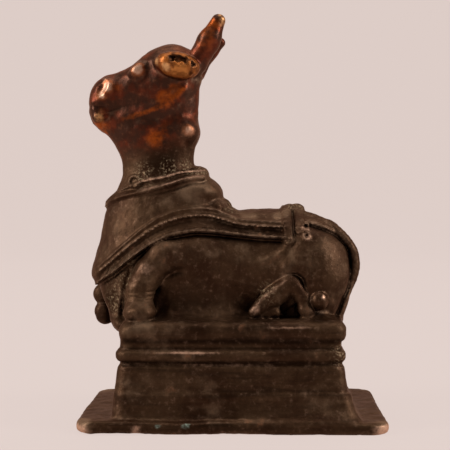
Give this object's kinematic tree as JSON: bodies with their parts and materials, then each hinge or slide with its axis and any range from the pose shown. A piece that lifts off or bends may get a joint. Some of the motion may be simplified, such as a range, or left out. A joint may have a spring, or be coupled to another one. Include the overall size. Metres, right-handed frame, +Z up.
{
  "type": "nandi bull figure",
  "caption": "Cast bull lying with its head raised, in a collar, a cape with a garland and a girth strap, on a stepped rectangular plinth with a wide foot plate.",
  "frame": {"origin": "middle of the plinth's underside, on the surface it stands on", "axes": "+Z up, the bull facing -X, its left side towards -Y"},
  "size_m": [0.07, 0.046, 0.0956],
  "materials": {
    "bronze": "dark brown patina, worn to bright metal on the ear, the horn tip and the foot plate's corners, red-brown on the head"
  },
  "bodies": {
    "root": {"nandi_bull_on_plinth": "bronze"}
  },
  "joints": []
}
